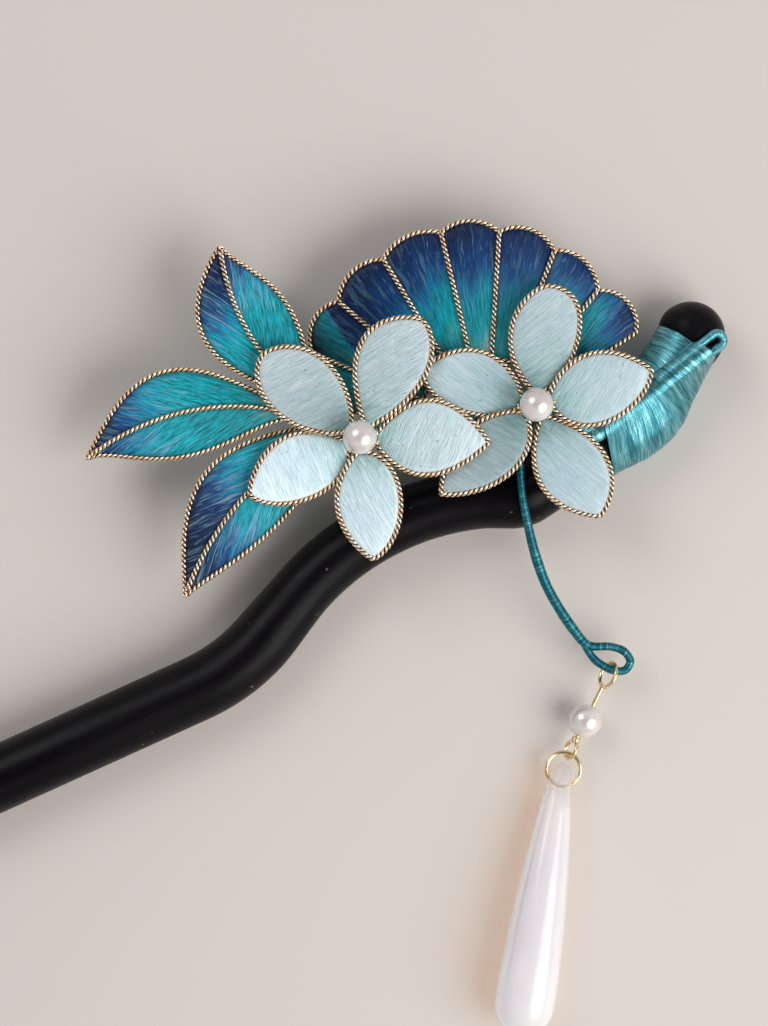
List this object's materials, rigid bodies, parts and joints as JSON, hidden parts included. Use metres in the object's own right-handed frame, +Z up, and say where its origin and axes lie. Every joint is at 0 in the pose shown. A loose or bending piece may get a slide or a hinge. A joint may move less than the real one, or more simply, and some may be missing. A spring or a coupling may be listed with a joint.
{
  "type": "hair stick with a lying drop",
  "caption": "Dark wooden hair stick with a curved shank, silk-wound head, wire-edged silk flowers, leaves and fan, and a pearl and stone drop.",
  "frame": {"origin": "centre of the whole part's footprint, on the surface that it lies on", "axes": "+X along the straight leg towards the silk-wound head, +Y towards the fan and leaves, +Z up from the surface that it lies on"},
  "size_m": [0.1796, 0.1294, 0.0211],
  "materials": {
    "ebony": "near-black close-grained wood, satin",
    "binding_silk": "wound teal silk thread, glossy",
    "hanger_silk": "wound dark teal silk thread, glossy",
    "petal_silk": "pale aqua silk thread laid flat, soft sheen",
    "leaf_silk": "silk thread shaded from navy to teal, soft sheen",
    "gold_wire": "twisted copper-gold wire",
    "pale_gold": "plain pale gold wire, polished",
    "pearl": "white pearl lustre",
    "milky_stone": "milky translucent stone, polished"
  },
  "bodies": {
    "root": {"stick": "ebony", "silk_winding": "binding_silk", "stem": "binding_silk", "left_petal_1": "petal_silk", "left_petal_wire_1": "gold_wire", "left_petal_2": "petal_silk", "left_petal_wire_2": "gold_wire", "left_petal_3": "petal_silk", "left_petal_wire_3": "gold_wire", "left_petal_4": "petal_silk", "left_petal_wire_4": "gold_wire", "left_petal_5": "petal_silk", "left_petal_wire_5": "gold_wire", "right_petal_1": "petal_silk", "right_petal_wire_1": "gold_wire", "right_petal_2": "petal_silk", "right_petal_wire_2": "gold_wire", "right_petal_3": "petal_silk", "right_petal_wire_3": "gold_wire", "right_petal_4": "petal_silk", "right_petal_wire_4": "gold_wire", "right_petal_5": "petal_silk", "right_petal_wire_5": "gold_wire", "leaf_1": "leaf_silk", "leaf_wire_1": "gold_wire", "leaf_2": "leaf_silk", "leaf_wire_2": "gold_wire", "leaf_3": "leaf_silk", "leaf_wire_3": "gold_wire", "fan": "leaf_silk", "fan_wire": "gold_wire", "left_pearl": "pearl", "right_pearl": "pearl", "left_pearl_wire": "gold_wire", "right_pearl_wire": "gold_wire", "hanger": "hanger_silk", "eye_pin": "pale_gold", "drop_pearl": "pearl", "jump_ring": "pale_gold", "teardrop": "milky_stone"}
  },
  "joints": []
}
